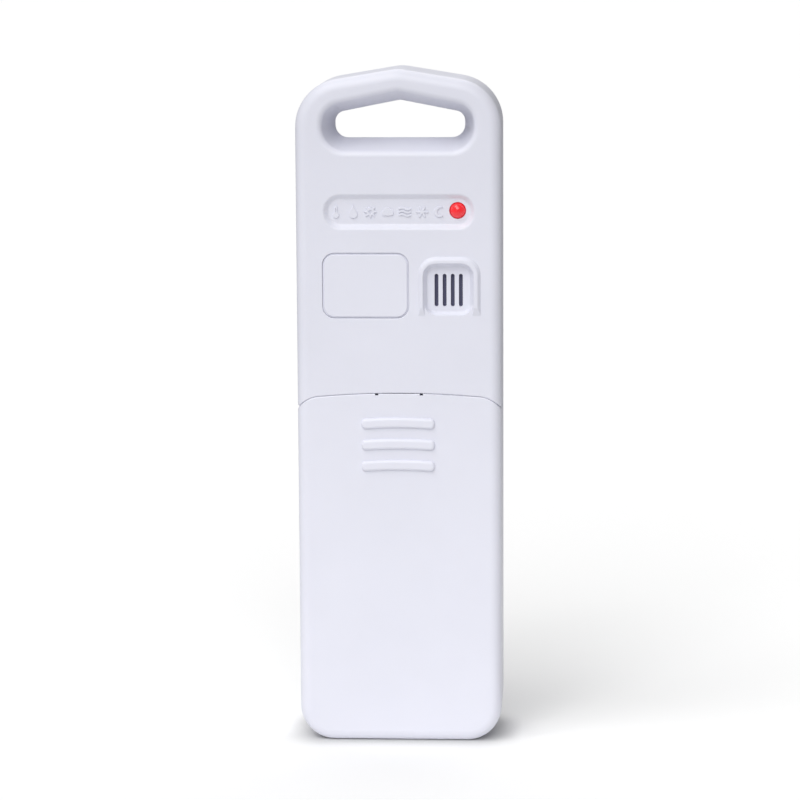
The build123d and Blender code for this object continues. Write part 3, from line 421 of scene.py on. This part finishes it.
def wind():
    """Three waves, one above the other."""
    row_pitch, half_length, wave_height, half_width = 0.52, 0.9, 0.15, 0.12
    steps = [step / WAVE_STEPS for step in range(WAVE_STEPS + 1)]
    waves = []
    for z in (row_pitch, 0.0, -row_pitch):
        path = [(half_length * (2 * t - 1), z + wave_height * math.sin(2 * math.pi * t)) for t in steps]
        waves.append(ribbon(path, half_width))
    return waves


def snow():
    """Six straight arms from a small middle."""
    arm_length, arm_half_width, middle = 0.98, 0.11, 0.24

    def reach(angle):
        off_axis = abs((angle + math.pi / 6) % (math.pi / 3) - math.pi / 6)
        return min(arm_length, max(middle, arm_half_width / max(math.sin(off_axis), 0.01)))
    return [around(reach)]


def moon():
    """A crescent: a round outside and a round bite that meet at the two tips."""
    outer_radius, tip_angle, bite_x = 0.85, math.radians(60), 0.36
    outer = arc(0, 0, outer_radius, tip_angle, 2 * math.pi - tip_angle, WIDE_ARC_STEPS)
    tip_x, tip_z = outer[0]
    bite_radius = math.hypot(tip_x - bite_x, tip_z)
    half_turn = math.atan2(tip_z, tip_x - bite_x)
    bite = arc(bite_x, 0, bite_radius, -half_turn, half_turn - 2 * math.pi, WIDE_ARC_STEPS)
    return [outer + bite[1:-1]]


def relief(name, outlines, place, material):
    """Closed outlines, filled and raised towards the front with a softened edge. Inner ones are holes."""
    curve = bpy.data.curves.new(name, "CURVE")
    curve.dimensions = "2D"
    curve.fill_mode = "BOTH"
    curve.extrude = MARK_RISE / 2 - MARK_EDGE
    curve.bevel_depth = MARK_EDGE
    curve.bevel_resolution = 2
    for outline in outlines:
        spline = curve.splines.new("POLY")
        spline.points.add(len(outline) - 1)
        for point, (x, z) in zip(spline.points, outline):
            point.co = (x * MARK_UNIT, z * MARK_UNIT, 0, 1)
        spline.use_cyclic_u = True
    shaped = bpy.data.objects.new(name, curve)
    bpy.context.scene.collection.objects.link(shaped)
    evaluated = shaped.evaluated_get(bpy.context.evaluated_depsgraph_get())
    mesh = bpy.data.meshes.new_from_object(evaluated)
    bpy.data.objects.remove(shaped)
    mesh.transform(Matrix.Translation(place) @ Matrix.Rotation(math.pi / 2, 4, "X"))
    mesh.materials.clear()
    mesh.materials.append(material)
    piece = bpy.data.objects.new(name, mesh)
    bpy.context.scene.collection.objects.link(piece)
    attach(piece, "root")


light_low, light_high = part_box("status_led")
hood_front_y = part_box("front_shell")[0][1]
mark_y = hood_front_y + RECESS_BEHIND_HOOD - MARK_RISE / 2
mark_z = (light_low[2] + light_high[2]) / 2 - MARK_DROP
mark_x = (light_low[0] + light_high[0]) / 2 + MARK_ROW_START
for index, sign in enumerate((thermometer, drop, sun, cloud, wind, snow, moon)):
    place = (mark_x + index * MARK_PITCH, mark_y, mark_z)
    relief(f"mark_{sign.__name__}", sign(), place, materials["case_white"])


# ---------------------------------------------------------------- stage

def floor_material():
    """White paper. Only the paper near the object throws its light back at it, as on a small table.

    Where the object nearly touches the paper, a painted contact shadow makes it darker to the camera.
    """
    material, tree, shader = new_material("floor_paper")
    shader.inputs["Roughness"].default_value = 0.9
    shader.inputs["Specular IOR Level"].default_value = 0.1
    coordinates = add(tree, "ShaderNodeTexCoord")
    distance = add(tree, "ShaderNodeVectorMath", operation="LENGTH")
    tree.links.new(coordinates.outputs["Object"], distance.inputs[0])
    past_edge = from_zero_to_one(tree, distance.outputs["Value"], *PAPER_EDGE)
    bounced = ramp(tree, past_edge, [(0.0, FLOOR_COLOR), (1.0, FAR_FLOOR_COLOR)])
    # Painted shade: ambient occlusion darkens the floor colour the camera sees near the object, as a
    # painted contact shadow
    openness = add(tree, "ShaderNodeAmbientOcclusion", samples=8)
    openness.inputs["Distance"].default_value = PAINTED_SHADOW_REACH
    seen = ramp(tree, openness.outputs["AO"], PAINTED_SHADOW_STOPS)
    seen_or_bounced(tree, bounced, seen, shader.inputs["Base Color"])
    return material


def make_floor():
    """A large white floor. It moves with the battery cover, which stands on it when it is slid off."""
    bpy.ops.mesh.primitive_plane_add(size=FLOOR_SIZE, location=(0, 0, 0))
    floor = bpy.context.object
    floor.name = "floor"
    floor.data.materials.append(floor_material())
    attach(floor, "battery_cover")


def make_world():
    """A dim, even room; the camera sees it white."""
    world = bpy.data.worlds.new("studio")
    bpy.context.scene.world = world
    world.use_nodes = True
    tree = world.node_tree
    seen_or_bounced(tree, ROOM_LIGHT, BACKGROUND, tree.nodes["Background"].inputs["Color"])


def sun_light(name, direction, strength, spread):
    """A far light from one direction; its spread makes its shadows soft."""
    data = bpy.data.lights.new(name, "SUN")
    data.energy = strength
    data.angle = spread
    lamp = bpy.data.objects.new(name, data)
    lamp.rotation_euler = (-Vector(direction)).to_track_quat("-Z", "Y").to_euler()
    bpy.context.scene.collection.objects.link(lamp)


def make_camera():
    """The camera, placed by its distance, azimuth and height, then turned by its pitch, yaw and roll."""
    data = bpy.data.cameras.new("camera")
    data.lens = CAMERA_LENS
    data.sensor_width = CAMERA_SENSOR_WIDTH
    data.clip_start, data.clip_end = CAMERA_CLIP
    camera = bpy.data.objects.new("camera", data)
    place = Vector((CAMERA_DISTANCE * math.sin(CAMERA_AZIMUTH),
                    -CAMERA_DISTANCE * math.cos(CAMERA_AZIMUTH), CAMERA_HEIGHT))
    heading = CAMERA_AZIMUTH + CAMERA_YAW
    forward = Vector((-math.sin(heading) * math.cos(CAMERA_PITCH),
                      math.cos(heading) * math.cos(CAMERA_PITCH), -math.sin(CAMERA_PITCH)))
    level_right = forward.cross(Vector((0, 0, 1))).normalized()
    level_up = level_right.cross(forward)
    right = level_right * math.cos(CAMERA_ROLL) + level_up * math.sin(CAMERA_ROLL)
    up = level_up * math.cos(CAMERA_ROLL) - level_right * math.sin(CAMERA_ROLL)
    turn = Matrix((right, up, -forward)).transposed().to_4x4()
    camera.matrix_world = Matrix.Translation(place) @ turn
    bpy.context.scene.collection.objects.link(camera)
    bpy.context.scene.camera = camera


make_floor()
make_world()
for light in LIGHTS:
    sun_light(*light)
make_camera()
bpy.context.scene.view_settings.view_transform = "Standard"
